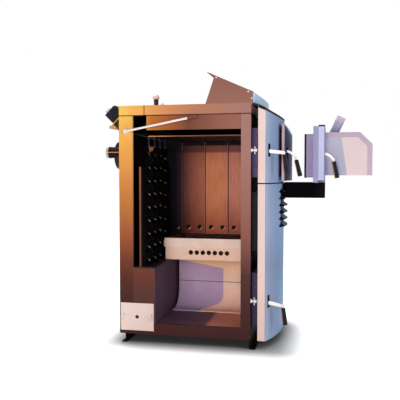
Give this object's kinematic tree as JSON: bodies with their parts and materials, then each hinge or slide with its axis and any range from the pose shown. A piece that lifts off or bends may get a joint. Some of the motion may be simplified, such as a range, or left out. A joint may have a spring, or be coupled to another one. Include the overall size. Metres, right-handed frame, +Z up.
{
  "type": "pellet boiler",
  "caption": "Floor-standing solid-fuel boiler with one side open: loading chamber over ceramic hearth, lifting turbulators, bow-fronted doors, rear fan and a burner on the door shelf.",
  "frame": {"origin": "centre of the overall box, at floor level", "axes": "+X from the rear towards the doors, +Y from the open side towards the closed side, +Z up"},
  "size_m": [1.4312, 0.6299, 1.3536],
  "materials": {
    "runners": "satin paint",
    "floor": "satin paint",
    "sill": "satin paint",
    "rear_post": "satin paint",
    "front_post": "satin paint",
    "closed_side": "satin paint",
    "rear_wall": "satin paint",
    "front_rails": "satin paint",
    "front_stiles": "satin paint",
    "rear_top_cover": "satin paint",
    "front_top_cover": "satin paint",
    "upper_panel": "satin paint",
    "water_space": "dark steel",
    "ceiling_plate": "bare steel with heat tint",
    "jacket_plate": "bare steel with heat tint",
    "ash_duct": "satin paint",
    "cleanout_cover": "bright sheet steel",
    "lining": "bare steel with heat tint",
    "nozzle_block": "pale refractory concrete",
    "gutter_upper": "pale refractory concrete",
    "gutter_lower": "pale refractory concrete",
    "turbulators": "dark scaled steel",
    "cleaning_lever": "polished steel",
    "control_housing": "satin paint",
    "control_lid": "satin paint",
    "control_fascia": "satin plastic",
    "top_fittings": "steel",
    "smoke_box": "satin paint",
    "flue_spigot": "satin paint",
    "water_pipes": "dark steel with a bright end",
    "fan_plate": "golden passivated steel",
    "fan_motor": "black housing with a pale cap",
    "door_seals": "glass fibre rope",
    "catch_studs": "steel",
    "hinge_pins": "dark steel",
    "air_box": "satin paint",
    "upper_door": "satin paint",
    "upper_cover": "satin paint",
    "upper_lever": "polished steel with a black grip",
    "blind_plug": "dark insulation block",
    "blind_plate": "satin paint",
    "blind_cover": "satin paint",
    "blind_lever": "polished steel with a black grip",
    "lower_door": "satin paint",
    "lower_cover": "satin paint",
    "lower_lever": "polished steel with a black grip",
    "shelf": "black satin paint",
    "burner_plug": "pale insulation block",
    "burner_door": "satin paint",
    "burner_cover": "satin paint",
    "burner_lever": "polished steel with a black grip",
    "burner_casing": "satin paint",
    "feed_tube": "satin paint"
  },
  "bodies": {
    "boiler": {"runners": "runners", "floor": "floor", "sill": "sill", "rear_post": "rear_post", "front_post": "front_post", "closed_side": "closed_side", "rear_wall": "rear_wall", "front_rails": "front_rails", "front_stiles": "front_stiles", "rear_top_cover": "rear_top_cover", "front_top_cover": "front_top_cover", "upper_panel": "upper_panel", "water_space": "water_space", "ceiling_plate": "ceiling_plate", "jacket_plate": "jacket_plate", "ash_duct": "ash_duct", "cleanout_cover": "cleanout_cover", "lining": "lining", "nozzle_block": "nozzle_block", "gutter_upper": "gutter_upper", "gutter_lower": "gutter_lower", "control_housing": "control_housing", "control_lid": "control_lid", "control_fascia": "control_fascia", "top_fittings": "top_fittings", "smoke_box": "smoke_box", "flue_spigot": "flue_spigot", "water_pipes": "water_pipes", "fan_plate": "fan_plate", "fan_motor": "fan_motor", "door_seals": "door_seals", "catch_studs": "catch_studs", "hinge_pins": "hinge_pins", "air_box": "air_box", "upper_door": "upper_door", "upper_cover": "upper_cover", "blind_plug": "blind_plug", "blind_plate": "blind_plate", "blind_cover": "blind_cover", "blind_lever": "blind_lever"},
    "lower_door_set": {"lower_door": "lower_door", "lower_cover": "lower_cover", "shelf": "shelf", "burner_plug": "burner_plug", "burner_door": "burner_door", "burner_cover": "burner_cover", "burner_casing": "burner_casing", "feed_tube": "feed_tube"},
    "lower_latch": {"lower_lever": "lower_lever"},
    "upper_latch": {"upper_lever": "upper_lever"},
    "burner_latch": {"burner_lever": "burner_lever"},
    "cleaning_gear": {"cleaning_lever": "cleaning_lever"},
    "strips": {"turbulators": "turbulators"}
  },
  "joints": [
    {"name": "lower_door_hinge", "type": "hinge", "parent": "boiler", "child": "lower_door_set", "pos_m": [0.1696, 0.3, 0.245], "axis": [0, 0, 1], "range_deg": [0, 100]},
    {"name": "lower_latch_turn", "type": "hinge", "parent": "lower_door_set", "child": "lower_latch", "pos_m": [0.1896, -0.258, 0.237], "axis": [0, -1, 0], "range_deg": [0, 30]},
    {"name": "burner_latch_turn", "type": "hinge", "parent": "lower_door_set", "child": "burner_latch", "pos_m": [0.4756, -0.12, 0.959], "axis": [0, -1, 0], "range_deg": [0, 30]},
    {"name": "upper_latch_turn", "type": "hinge", "parent": "boiler", "child": "upper_latch", "pos_m": [0.1896, -0.258, 0.973], "axis": [0, -1, 0], "range_deg": [0, 30]},
    {"name": "cleaning_lever_turn", "type": "hinge", "parent": "boiler", "child": "cleaning_gear", "pos_m": [-0.4924, -0.285, 1.071], "axis": [0, -1, 0], "range_deg": [0, 30]},
    {"name": "strips_lift", "type": "slide", "parent": "boiler", "child": "strips", "axis": [0, 0, 1], "range_m": [0, 0.06]}
  ],
  "couplings": [
    {"joint": "strips_lift", "follows": "cleaning_lever_turn", "m_per_rad": 0.10747}
  ]
}
